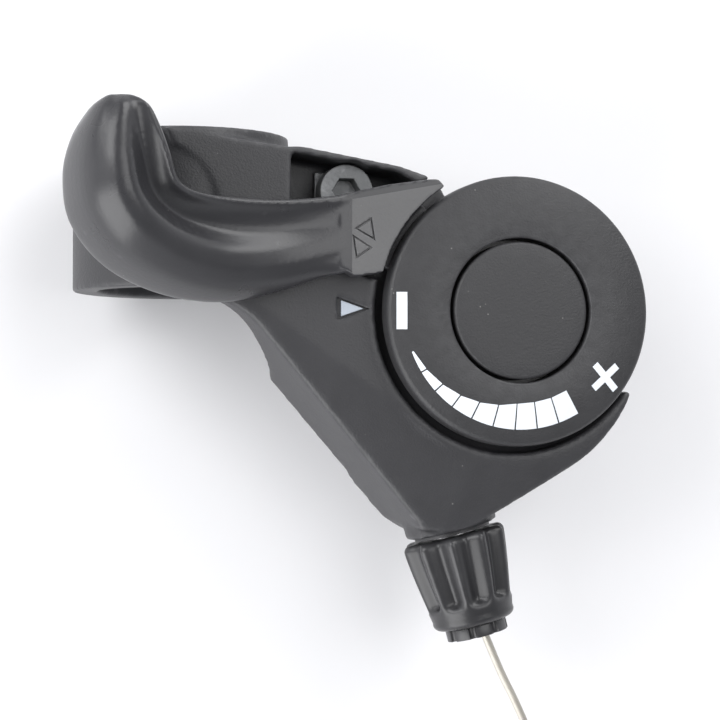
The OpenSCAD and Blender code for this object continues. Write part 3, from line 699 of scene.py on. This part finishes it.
@dataclass
class Studio:
    """A pale floor, soft lights and the camera above it."""

    target: Vector = field(default_factory=lambda: mm(23.4, -19.7, 7))
    distance: float = 0.35
    lean_side: float = -13.0
    lean_down: float = -2.3
    lens: float = 129.5
    tent_foot: float = 0.22
    tent_shade: float = 0.62
    wall_light: float = 0.95
    roof_light: float = 0.24
    floor_z: float = field(default_factory=lambda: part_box("wire_coil")[0].z)
    lights: tuple[tuple[str, tuple[float, float, float], float, float], ...] = (
        ("soft_left", (-500, 230, 430), 0.5, 3.4),
        ("soft_front", (-420, -430, 230), 0.6, 4.2),
        ("soft_back", (330, 470, 380), 0.45, 2.6),
        ("soft_top", (230, 60, 640), 0.4, 1.3),
    )

    def aim(self, obj: bpy.types.Object, at: Vector, back: Vector) -> None:
        """Turns an object so that its -Z looks from `at` along -back, with +Y as up."""
        back = back.normalized()
        side = Vector((0, 1, 0)).cross(back).normalized()
        turn = Matrix((side, back.cross(side), back)).transposed()
        obj.matrix_world = Matrix.Translation(at) @ turn.to_4x4()

    def build(self) -> None:
        """Makes the camera, the floor, the lights and the surroundings."""
        scene = bpy.context.scene
        scene.view_settings.view_transform = "Standard"
        lens = bpy.data.cameras.new("camera")
        lens.lens = self.lens
        lens.sensor_width = 36.0
        lens.clip_start, lens.clip_end = 0.01, 10.0
        camera = bpy.data.objects.new("camera", lens)
        scene.collection.objects.link(camera)
        side, down = math.radians(self.lean_side), math.radians(self.lean_down)
        back = Vector((math.sin(side) * math.cos(down), math.sin(down), math.cos(side) * math.cos(down)))
        self.aim(camera, self.target + back * self.distance, back)
        scene.camera = camera
        self.floor()
        for name, place, size, power in self.lights:
            self.light(name, mm(*place), size, power)
        scene.world = self.tent()

    def tent(self) -> bpy.types.World:
        """The surroundings: a tent whose walls are light at the foot and darker half way up.

        Returns:
            The world.
        """
        world = bpy.data.worlds.new("tent")
        world.use_nodes = True
        n = Nodes(world.node_tree)
        split = n.new("SeparateXYZ", Vector=n.new("TexCoord").outputs["Object"])
        height = n.math("ABSOLUTE", split.outputs[2])
        shade = n.new("MapRange", interpolation_type="SMOOTHSTEP", Value=height,
                      From_Min=self.tent_foot, From_Max=self.tent_shade,
                      To_Min=self.wall_light, To_Max=self.roof_light)
        background = world.node_tree.nodes["Background"]
        background.inputs["Color"].default_value = (0.95, 0.96, 1.0, 1.0)
        n.set(background, "Strength", shade.outputs[0])
        return world

    def light(self, name: str, at: Vector, size: float, power: float) -> None:
        """Adds a square soft light that looks at the piece.

        Args:
            name: Its name.
            at: Its place.
            size: Its side, in metres.
            power: Its power, in watts.
        """
        data = bpy.data.lights.new(name, "AREA")
        data.size = size
        data.energy = power
        obj = bpy.data.objects.new(name, data)
        bpy.context.scene.collection.objects.link(obj)
        self.aim(obj, at, at - self.target)

    def floor(self) -> None:
        """A wide pale board with a very faint texture."""
        bm = bmesh.new()
        bmesh.ops.create_grid(bm, x_segments=4, y_segments=4, size=1.6)
        bmesh.ops.translate(bm, verts=bm.verts, vec=(0, 0, self.floor_z))
        board = to_object(bm, "floor", smooth=False)
        if board.data.polygons[0].normal.z < 0:
            board.data.flip_normals()
        material = bpy.data.materials.new("pale_board")
        material.use_nodes = True
        n = Nodes(material.node_tree)
        shader = material.node_tree.nodes["Principled BSDF"]
        noise = n.new("TexNoise", Vector=n.new("TexCoord").outputs["Object"], Scale=9.0, Detail=3.0)
        n.set(shader, "Base Color", n.mix(noise.outputs[0], (0.80, 0.80, 0.815, 1), (0.83, 0.83, 0.845, 1)))
        n.set(shader, "Roughness", n.spread(noise.outputs[0], 0.3, 0.7, 0.75, 0.85))
        board.data.materials.append(material)


# ---------- gear wire ----------


@dataclass
class GearWire:
    """The gear wire from the adjuster to its capped end, with the spare length in a coil."""

    wardrobe: Wardrobe
    diameter: float = 1.1 * MM
    floor_z: float = field(default_factory=lambda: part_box("wire_coil")[0].z)
    coil_at: tuple[float, float] = (48.0, -112.0)
    outer_turn: float = 14.0
    pitch: float = 1.2
    rows: tuple[int, ...] = (5, 5, 5, 5, 4, 4)
    steps: int = 40
    sides: int = 24
    strands: int = 12
    lobe: float = 0.045
    lobe_fade: float = 0.01
    lay: float = 9.0
    end_bend: float = 4.3
    end_lift: float = 0.35
    waists: tuple[float, float] = (0.3, 0.55)
    waist_depth: float = 0.16
    dome_from: float = 0.93

    def __post_init__(self) -> None:
        """Works out how high the middle of a wire lies that rests on the floor, in millimetres."""
        self.low = (self.floor_z + self.diameter / 2) / MM

    def route(self) -> list[Vector]:
        """The free stretch, from the adjuster's seat down to the floor, in metres."""
        points = [
            (40.989, -56.677, 6.0), (43.5, -62, 5.2), (45.6, -66, 4.8), (47.6, -70, 4), (49.9, -75, 2.2),
            (52, -80, -0.6), (54, -85, -4.1), (55.8, -90, -8), (57.6, -95, -11.4), (59.4, -100, -13.4),
            (60.9, -105, -14), (61.8, -109, self.low), (62, -112, self.low),
        ]
        return smoothed([mm(*p) for p in points], 24)

    def coil(self) -> list[Vector]:
        """The turns, which lie beside and on each other, from the outer column inwards."""
        x, y = self.coil_at
        stops = []
        for column, count in enumerate(self.rows):
            levels = list(range(count))
            if column % 2:
                levels.reverse()
            radius = self.outer_turn - self.pitch * column
            stops += [(radius, self.low + self.pitch * level) for level in levels]
        points = []
        for turn, (radius, height) in enumerate(stops):
            step = stops[turn + 1] if turn + 1 < len(stops) else (radius, height)
            for i in range(self.steps):
                share = i / self.steps
                climb = min(max((share - 0.7) / 0.28, 0.0), 1.0)
                climb = climb * climb * (3 - 2 * climb)
                r = radius + (step[0] - radius) * climb
                z = height + (step[1] - height) * climb
                angle = -math.tau * share
                points.append(mm(x + r * math.cos(angle), y + r * math.sin(angle), z))
        return points

    def lead_out(self) -> list[Vector]:
        """From the innermost turn in to the end cap, in an easy curve, in metres."""
        x, y = self.coil_at
        inner = self.outer_turn - self.pitch * (len(self.rows) - 1)
        points = []
        for i in range(31):
            angle = -math.pi * i / 30
            r = inner - 0.6 * (i / 30) ** 2
            points.append(mm(x + r * math.cos(angle), y + r * math.sin(angle), self.low))
        bend_x = points[-1].x / MM + self.end_bend
        for i in range(1, 17):
            angle = math.pi - math.pi / 2 * i / 16
            lift = self.end_lift * i / 16
            points.append(mm(bend_x + self.end_bend * math.cos(angle),
                             y + self.end_bend * math.sin(angle), self.low + lift))
        for x_end in (46.4, 48.4, 50.2):
            points.append(mm(x_end, y + self.end_bend, self.low + self.end_lift))
        return points

    def build(self) -> bpy.types.Object:
        """Makes the wire with its tie and end cap, and logs its length.

        Returns:
            The wire.
        """
        free = self.route()
        path = free[:-1] + self.coil() + self.lead_out()
        along = [0.0]
        for a, b in zip(path, path[1:]):
            along.append(along[-1] + (b - a).length)
        free_end = along[len(free) - 1]
        rings = []
        side = Vector((0, 0, 1))
        for k, place in enumerate(path):
            ahead = path[min(k + 1, len(path) - 1)] - path[max(k - 1, 0)]
            ahead.normalize()
            side = (side - ahead * side.dot(ahead)).normalized()
            up = ahead.cross(side)
            fade = min(max((free_end - along[k]) / self.lobe_fade, 0.0), 1.0)
            twist = math.tau * self.strands * along[k] / (self.lay * MM)
            ring = []
            for i in range(self.sides):
                angle = math.tau * i / self.sides
                dip = 0.5 - 0.5 * math.cos(angle * self.strands + twist)
                radius = self.diameter / 2 * (1 - self.lobe * fade * dip)
                ring.append(place + radius * (math.cos(angle) * side + math.sin(angle) * up))
            rings.append(ring)
        wire = skin(rings, "gear_wire_rope", along=along)
        self.wardrobe.settle(wire, "wire_strands", Body.HOUSING, ["gear_wire", "wire_coil"])
        tie = self.tie()
        cap = self.end_cap()
        log.info("gear wire: %.3f m, of which %.3f m is free", along[-1], free_end)
        return wire

    def tie(self) -> bpy.types.Object:
        """The nylon tie round the coil, with rounded edges."""
        bm = cad_copy("coil_tie")
        bevelled(bm, 0.22 * MM)
        piece = to_object(bm, "wire_coil_tie")
        return self.wardrobe.settle(piece, "tie_nylon", Body.HOUSING, ["coil_tie"])

    def end_cap(self) -> bpy.types.Object:
        """The crimped cap on the wire's end: a thin tube with two waists and a domed tip."""
        lo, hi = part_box("wire_end_cap")
        radius = (hi.z - lo.z) / 2
        y, z = (lo.y + hi.y) / 2, (lo.z + hi.z) / 2
        length = hi.x - lo.x
        rings = []
        for step in range(57):
            share = step / 56
            pinch = sum(math.exp(-((share - at) / 0.05) ** 2) for at in self.waists)
            r = radius * (1 - self.waist_depth * pinch)
            if share > self.dome_from:
                r *= math.sqrt(max(1 - ((share - self.dome_from) / 0.075) ** 2, 0.02))
            x = lo.x + length * share
            turns = [math.tau * i / 20 for i in range(20)]
            rings.append([Vector((x, y + r * math.cos(a), z + r * math.sin(a))) for a in turns])
        piece = skin(rings, "wire_tip")
        return self.wardrobe.settle(piece, "alloy_turned", Body.HOUSING, ["wire_end_cap"])


# ---------- housing ----------


@dataclass
class Housing:
    """The moulded housing with its clamp, the base cover and the painted pointer."""

    wardrobe: Wardrobe
    voxel: float = 0.36 * MM
    passes: int = 9
    triangles: int = 186000
    pocket_share: float = 1.2
    fill_share: float = 0.84
    cover_round: float = 0.25 * MM
    paint_round: float = 0.1 * MM

    def build(self) -> None:
        """Makes the housing, the cover and the pointer."""
        shell = to_object(cad_copy("housing"), "moulded_housing")
        softened(shell, self.voxel, self.passes, self.triangles)
        self.pointer(shell)
        self.wardrobe.settle(shell, "housing_satin", Body.HOUSING, ["housing"])
        cover = cad_copy("base_cover")
        bevelled(cover, self.cover_round)
        piece = to_object(cover, "base_plate", smooth=False)
        self.wardrobe.settle(piece, "housing_satin", Body.HOUSING, ["base_cover"])

    def pointer(self, shell: bpy.types.Object) -> None:
        """Cuts the pointer's pocket cleanly into the housing and lays its paint in it.

        Args:
            shell: The moulded housing.
        """
        low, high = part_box("pointer_inlay")
        middle = (low.y + high.y) / 2
        corners = [(low.x, high.y), (low.x, low.y), (high.x, middle)]
        centre = Vector((low.x + (high.x - low.x) / 3, middle))
        pocket = [centre + (Vector(c) - centre) * self.pocket_share for c in corners]
        fill = [centre + (Vector(c) - centre) * self.fill_share + Vector((0.12 * MM, 0)) for c in corners]
        cut(shell, prism(pocket, low.z - 0.05 * MM, high.z + 1 * MM, "pocket"))
        paint = prism(fill, low.z - 0.1 * MM, high.z - 0.02 * MM, "painted_pointer")
        bm = bmesh.new()
        bm.from_mesh(paint.data)
        bevelled(bm, self.paint_round)
        bm.to_mesh(paint.data)
        bm.free()
        self.wardrobe.settle(paint, "inlay_print", Body.HOUSING, ["pointer_inlay"])


@dataclass
class ClampHardware:
    """Bolt, washer and nut of the clamp, and the screws of the base cover."""

    wardrobe: Wardrobe
    parts: tuple[tuple[str, str, str, float], ...] = (
        ("clamp_bolt", "socket_bolt", "steel_grey", 0.22),
        ("clamp_washer", "square_washer", "steel_grey", 0.15),
        ("clamp_nut", "hex_nut", "steel_zinc", 0.2),
        ("cover_screws", "cross_screws", "steel_zinc", 0.12),
    )

    def build(self) -> None:
        """Makes a bevelled piece for each fastener."""
        for node, name, finish, width in self.parts:
            bm = cad_copy(node)
            bevelled(bm, width * MM)
            piece = to_object(bm, name, smooth=False)
            self.wardrobe.settle(piece, finish, Body.HOUSING, [node])


# ---------- dial ----------


@dataclass
class Dial:
    """The indicator disc with its printed scale, and the centre cap."""

    wardrobe: Wardrobe
    groove: float = 0.5
    rim_height: float = 3.6
    rim_round: float = 0.9
    cap_round: float = 0.5
    rise: float = 0.9

    def build(self) -> None:
        """Makes the disc and the cap, and gives the scale marks their printed finish."""
        low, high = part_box("indicator_disc")
        axle = (low + high) / 2
        outer = (high.x - low.x) / 2 / MM
        cap_low, cap_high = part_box("centre_cap")
        cap = (cap_high.x - cap_low.x) / 2 / MM
        inner = cap + self.groove
        base = low.z / MM
        top = base + self.rim_height
        crown = high.z / MM
        profile = [(inner, base), (outer - 0.4, base), (outer, base + 0.4)]
        profile += arc((outer - self.rim_round, top - self.rim_round), self.rim_round, 0, 70, 8)
        profile += [((outer + inner) / 2, top + self.rise * 0.58)]
        profile += [(inner + 0.3, crown), (inner + 0.08, crown - 0.1), (inner, crown - 0.3)]
        disc = turned([(r * MM, z * MM) for r, z in profile], axle, "dial_disc", 256)
        self.wardrobe.settle(disc, "dial_matte", Body.LEVER, ["indicator_disc"])
        marks = frame["nodes"]["scale_marks"]
        self.wardrobe.dress(marks, "scale_print")
        self.cap(axle, cap, cap_high.z / MM, base)

    def cap(self, axle: Vector, radius: float, top: float, base: float) -> None:
        """The cap in the middle: a shallow crown with a rounded edge.

        Args:
            axle: A point on the axis.
            radius: Its radius, in millimetres.
            top: Height of its crown.
            base: Height of its foot.
        """
        profile = [(7.9, base), (radius, base)]
        profile += arc((radius - self.cap_round, top - 0.75), self.cap_round, 0, 80, 8)
        profile += [(radius * 0.75, top - 0.13), (radius * 0.5, top - 0.06), (radius * 0.25, top - 0.01)]
        profile += [(0.0, top), (0.0, top - 1.6), (7.9, top - 2.2)]
        piece = turned([(r * MM, z * MM) for r, z in profile], axle, "dial_cap", 256)
        self.wardrobe.settle(piece, "dial_matte", Body.LEVER, ["centre_cap"])


# ---------- lever ----------


@dataclass(frozen=True)
class Station:
    """One cross-section of the lever's arm, in millimetres from the edge of the dial."""

    outer: tuple[float, float]
    inner: tuple[float, float]
    shoulder: float
    ridge: float
    valley: float
    lip: float
    crest: float

    def vector(self) -> Vector:
        """All its sizes in one vector, so that stations can be blended."""
        heights = (self.shoulder, self.ridge, self.valley, self.lip)
        return Vector((*self.outer, *self.inner, *heights, self.crest))


@dataclass
class Lever:
    """The thumb lever: a sculpted arm, a flat plate beside the dial and a hub under it."""

    wardrobe: Wardrobe
    dial_gap: float = 1.2
    arm_back: float = 0.25
    plate_height: float = 3.0
    voxel: float = 0.25 * MM
    passes: int = 9
    triangles: int = 180000
    stations: tuple[Station, ...] = (
        Station((-2.55, 5.0), (-1.95, 15.4), 2.7, 2.9, 2.9, 2.9, 0.3),
        Station((-7.15, 4.1), (-6.75, 14.6), 2.0, 3.3, 2.9, 3.5, 0.3),
        Station((-13.15, 2.1), (-12.95, 14.0), 1.8, 4.3, 3.2, 4.4, 0.32),
        Station((-20.65, 0.7), (-19.15, 14.0), 2.0, 6.4, 4.4, 5.8, 0.36),
        Station((-28.65, 1.7), (-23.55, 14.3), 2.4, 9.2, 6.0, 7.6, 0.42),
        Station((-35.75, 5.1), (-26.1, 14.9), 2.8, 11.8, 7.8, 9.4, 0.47),
        Station((-40.15, 10.5), (-27.5, 16.0), 3.2, 13.2, 9.4, 10.8, 0.48),
        Station((-41.2, 16.4), (-28.6, 19.1), 4.0, 13.6, 10.8, 11.8, 0.47),
        Station((-40.4, 21.0), (-29.8, 22.0), 6.0, 13.2, 11.6, 12.1, 0.46),
        Station((-38.6, 24.3), (-31.0, 24.4), 8.0, 12.5, 11.8, 11.9, 0.45),
        Station((-37.4, 25.5), (-32.2, 25.5), 9.0, 11.7, 11.4, 11.4, 0.45),
        Station((-36.3, 26.1), (-33.6, 26.1), 9.6, 10.9, 10.8, 10.8, 0.45),
    )
    plate: tuple[tuple[float, float], ...] = (
        (-4.95, 5.4), (-2.95, 4.2), (0.85, 4.8), (8.5, 12.0), (9.4, 16.1), (8.3, 17.3), (6.9, 17.2),
        (1.45, 16.4), (-4.95, 14.9),
    )
    triangles_at: tuple[tuple[tuple[float, float], ...], ...] = (
        ((-0.75, 12.0), (-0.25, 8.9), (-3.05, 10.5)),
        ((-3.35, 9.7), (-0.65, 8.0), (-2.85, 6.5)),
    )
    groove_depth: float = 0.25
    groove_core: float = 0.72
    matte_corner: tuple[float, float] = (-3.4, 14.3)
    matte_slope: float = 0.19

    def __post_init__(self) -> None:
        """Works out where the arm and the dial meet."""
        low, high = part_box("indicator_disc")
        self.axle = (low + high) / 2
        self.plate_r = (high.x - low.x) / 2 / MM + self.dial_gap
        self.origin = (self.axle.x / MM - self.plate_r - self.arm_back, self.axle.y / MM)
        self.arm_z = 15.25

    def section(self, row: Vector) -> list[Vector]:
        """One cross-section, from the underside round over thumb face, ridge, valley and lip.

        Args:
            row: The sizes of a station.

        Returns:
            Its points, in metres.
        """
        outer, inner = Vector((row[0], row[1])), Vector((row[2], row[3]))
        shoulder, ridge, valley, lip, crest = row[4:9]
        fall = 1 - crest
        across = [
            (0.16, 0.0), (0.02, shoulder * 0.35), (0.0, shoulder),
            (crest * 0.3, shoulder + (ridge - shoulder) * 0.62), (crest * 0.72, ridge * 0.95), (crest, ridge),
            (crest + fall * 0.2, ridge * 0.88 + valley * 0.12),
            (crest + fall * 0.36, ridge * 0.4 + valley * 0.6),
            (crest + fall * 0.52, valley), (crest + fall * 0.76, valley * 0.65 + lip * 0.35),
            (0.96, lip), (1.0, lip * 0.8), (0.97, lip * 0.3), (0.86, 0.0),
        ]
        control = []
        for share, height in across:
            flat = outer + (inner - outer) * share
            control.append(mm(self.origin[0] + flat.x, self.origin[1] + flat.y, self.arm_z + height))
        count = len(control)
        fine = []
        for i in range(count):
            a, b, c, d = (control[(i + k) % count] for k in (-1, 0, 1, 2))
            straight = i == count - 1
            for k in range(5):
                t = k / 5
                fine.append(b + (c - b) * t if straight else between(a, b, c, d, t))
        return fine

    def arm(self) -> bpy.types.Object:
        """The sculpted arm alone."""
        rows = smoothed([s.vector() for s in self.stations], 8)
        return skin([self.section(row) for row in rows], "arm")

    def place(self, point: Point) -> tuple[float, float]:
        """A point of the plate in metres, from millimetres off the dial's edge."""
        return ((self.origin[0] + point[0]) * MM, (self.origin[1] + point[1]) * MM)

    def build(self) -> None:
        """Makes the lever as one moulded piece."""
        low = self.arm_z * MM
        top = low + self.plate_height * MM
        lever = to_object(self.hub_copy(), "thumb_lever")
        plate = prism([self.place(p) for p in self.plate], low + 0.05 * MM, top, "plate")
        edge = self.plate_r * MM
        room = [(0, low - 0.01), (edge, low - 0.01), (edge, low + 0.02), (0, low + 0.02)]
        cut(plate, turned(room, self.axle, "dial_room", 192))
        cut(lever, self.arm(), "UNION")
        cut(lever, plate, "UNION")
        softened(lever, self.voxel, self.passes, self.triangles)
        for corners in self.triangles_at:
            self.engrave(lever, corners, top)
        smooth_all(lever.data)
        self.wardrobe.dress(lever, "lever_satin", "lever_matte")
        self.paint_plate(lever, top)
        self.wardrobe.settle(lever, "lever_satin", Body.LEVER, ["lever"])

    def hub_copy(self) -> bmesh.types.BMesh:
        """The hub and the sleeve of the CAD lever, without its arm."""
        bm = cad_copy("lever")
        level = (self.arm_z - 0.35) * MM
        geometry = bm.verts[:] + bm.edges[:] + bm.faces[:]
        bmesh.ops.bisect_plane(bm, geom=geometry, plane_co=(0, 0, level), plane_no=(0, 0, 1),
                               clear_outer=True)
        rim = [e for e in bm.edges if e.is_boundary]
        made = bmesh.ops.triangle_fill(bm, use_beauty=True, use_dissolve=False, edges=rim)
        faces = [g for g in made["geom"] if isinstance(g, bmesh.types.BMFace)]
        grown = bmesh.ops.extrude_face_region(bm, geom=faces)
        verts = [g for g in grown["geom"] if isinstance(g, bmesh.types.BMVert)]
        bmesh.ops.translate(bm, verts=verts, vec=(0, 0, 1.2 * MM))
        bmesh.ops.delete(bm, geom=faces, context="FACES_ONLY")
        return bm

    def engrave(self, lever: bpy.types.Object, corners: Sequence[Point], top: float) -> None:
        """Cuts the outline of a small triangle into the plate.

        Args:
            lever: The lever.
            corners: The triangle's corners.
            top: Height of the plate.
        """
        middle = Vector((sum(c[0] for c in corners) / 3, sum(c[1] for c in corners) / 3))
        bottom = top - self.groove_depth * MM
        outline = prism([self.place(c) for c in corners], bottom, top + 0.5 * MM, "groove")
        core = [middle + (Vector(c) - middle) * self.groove_core for c in corners]
        cut(outline, prism([self.place(c) for c in core], top - 1 * MM, top + 1 * MM, "core"))
        cut(lever, outline)

    def paint_plate(self, lever: bpy.types.Object, top: float) -> None:
        """Gives the flat of the plate the matte finish, with a clean border.

        Args:
            lever: The lever.
            top: Height of the plate.
        """
        left, rear = self.place(self.matte_corner)
        slope = self.matte_slope
        bm = bmesh.new()
        bm.from_mesh(lever.data)
        for at, across in (((left, rear, top), (1, 0, 0)), ((left, rear, top), (-slope, 1, 0))):
            near = [f for f in bm.faces if f.calc_center_median().z > top - 1 * MM and f.normal.z > 0.5]
            edges = {e for f in near for e in f.edges}
            verts = {v for f in near for v in f.verts}
            bmesh.ops.bisect_plane(bm, geom=[*verts, *edges, *near], plane_co=at, plane_no=across)
        for face in bm.faces:
            centre = face.calc_center_median()
            inside = centre.x > left and centre.y < rear + slope * (centre.x - left)
            if inside and centre.z > top - 0.35 * MM and face.normal.z > 0.8:
                face.material_index = 1
        bm.to_mesh(lever.data)
        bm.free()


# ---------- adjuster ----------


@dataclass
class Adjuster:
    """The fluted knob, and the bolt with its slotted collar."""

    wardrobe: Wardrobe
    length: float = 12.4
    wide: float = 7.3
    narrow: float = 5.5
    bore: float = 3.05
    flutes: int = 10
    flute_depth: float = 1.25
    collar_from: float = 3.3

    def __post_init__(self) -> None:
        """Reads the adjuster's axis from the joint."""
        joint = next(j for j in frame["joints"] if j["name"] == "knob_turn")
        self.start = Vector(joint["pos_m"])
        self.axis = Vector(joint["axis"]).normalized()
        self.up = Vector((0, 0, 1))
        self.side = self.up.cross(self.axis)

    def at(self, along: float, radius: float, angle: float) -> Vector:
        """A point by its distance along the axis and from it, in millimetres, and its angle."""
        off = math.cos(angle) * self.up + math.sin(angle) * self.side
        return self.start + (self.axis * along + off * radius) * MM

    def knob_rings(self) -> list[list[Vector]]:
        """Rings of the knob, from its bore round its inner end, out, and back to the bore."""
        sides = 200
        outline = [(0.0, self.bore, 0.0), (0.0, self.wide - 2.5, 0.0)]
        for i in range(9):
            angle = math.radians(-90 + 90 * i / 8)
            outline.append((0.9 + 0.9 * math.sin(angle), self.wide - 1.0 + 0.9 * math.cos(angle), 1.0))
        for i in range(1, 36):
            share = i / 36
            along = 0.9 + (self.length - 1.9) * share
            radius = self.wide - 0.1 - (self.wide - self.narrow) * (share ** 1.25) * 0.92
            fade = min(max((0.86 - share) / 0.12, 0.0), 1.0)
            outline.append((along, radius, fade * fade * (3 - 2 * fade)))
        for i in range(9):
            angle = math.radians(8 + 82 * i / 8)
            radius = self.narrow - 0.85 + math.cos(angle)
            outline.append((self.length - 1.0 + math.sin(angle), radius, 0.0))
        outline.append((self.length, self.bore, 0.0))
        rings = []
        for along, radius, cut_share in outline:
            ring = []
            for i in range(sides):
                angle = math.tau * i / sides
                wave = 0.5 + 0.5 * math.cos(angle * self.flutes)
                dip = self.flute_depth * cut_share * wave ** 0.9
                ring.append(self.at(along, radius - dip, angle))
            rings.append(ring)
        return rings

    def build(self) -> None:
        """Makes the knob, the bolt and the collar."""
        rings = self.knob_rings()
        knob = skin(rings + [rings[0]], "fluted_knob", close=False)
        bm = bmesh.new()
        bm.from_mesh(knob.data)
        bmesh.ops.remove_doubles(bm, verts=bm.verts, dist=1e-7)
        bmesh.ops.recalc_face_normals(bm, faces=bm.faces)
        bm.to_mesh(knob.data)
        bm.free()
        smooth_all(knob.data)
        self.wardrobe.settle(knob, "knob_gloss", Body.KNOB, ["adjuster_knob"])
        bm = cad_copy("adjuster_bolt")
        bevelled(bm, 0.12 * MM)
        bolt = to_object(bm, "slotted_bolt", smooth=False)
        self.wardrobe.dress(bolt, "knob_gloss", "alloy_turned")
        for face in bolt.data.polygons:
            off = face.center - self.start
            along = off.dot(self.axis)
            out = (off - self.axis * along).length
            outside = along > (self.length + 0.1) * MM and out > self.collar_from * MM
            face.material_index = 0 if outside else 1
        self.wardrobe.settle(bolt, "knob_gloss", Body.BOLT, ["adjuster_bolt"])


@dataclass
class Mechanism:
    """The inner parts, which keep their own shape and get a finish."""

    wardrobe: Wardrobe
    finishes: dict[str, str] = field(default_factory=lambda: {
        "pivot_axle": "steel_zinc", "pivot_bush": "brass_turned", "thrust_washer": "acetal_white",
        "keeper_washer": "steel_zinc", "keeper_screw": "steel_zinc", "click_spring": "steel_zinc",
        # The detent washer's near-black steel is painted shade for the dark gap beside the knob.
        "spring_pin": "steel_zinc", "thread_insert": "brass_turned", "detent_washer": "steel_painted_gap_shade",
        "inner_wire": "alloy_turned", "cable_drum": "acetal_white", "index_plate": "steel_zinc",
        "wire_nipple": "alloy_turned", "wound_wire": "alloy_turned",
    })

    def build(self) -> None:
        """Dresses each part."""
        for node, finish in self.finishes.items():
            self.wardrobe.dress(frame["nodes"][node], finish)
            log.info("%s: %s", node, finish)


def main() -> None:
    """Builds the whole shifter, the camera and the wire first."""
    Studio().build()
    wardrobe = Wardrobe()
    GearWire(wardrobe).build()
    Housing(wardrobe).build()
    ClampHardware(wardrobe).build()
    Dial(wardrobe).build()
    Lever(wardrobe).build()
    Adjuster(wardrobe).build()
    Mechanism(wardrobe).build()


if __name__ == "__main__":
    main()
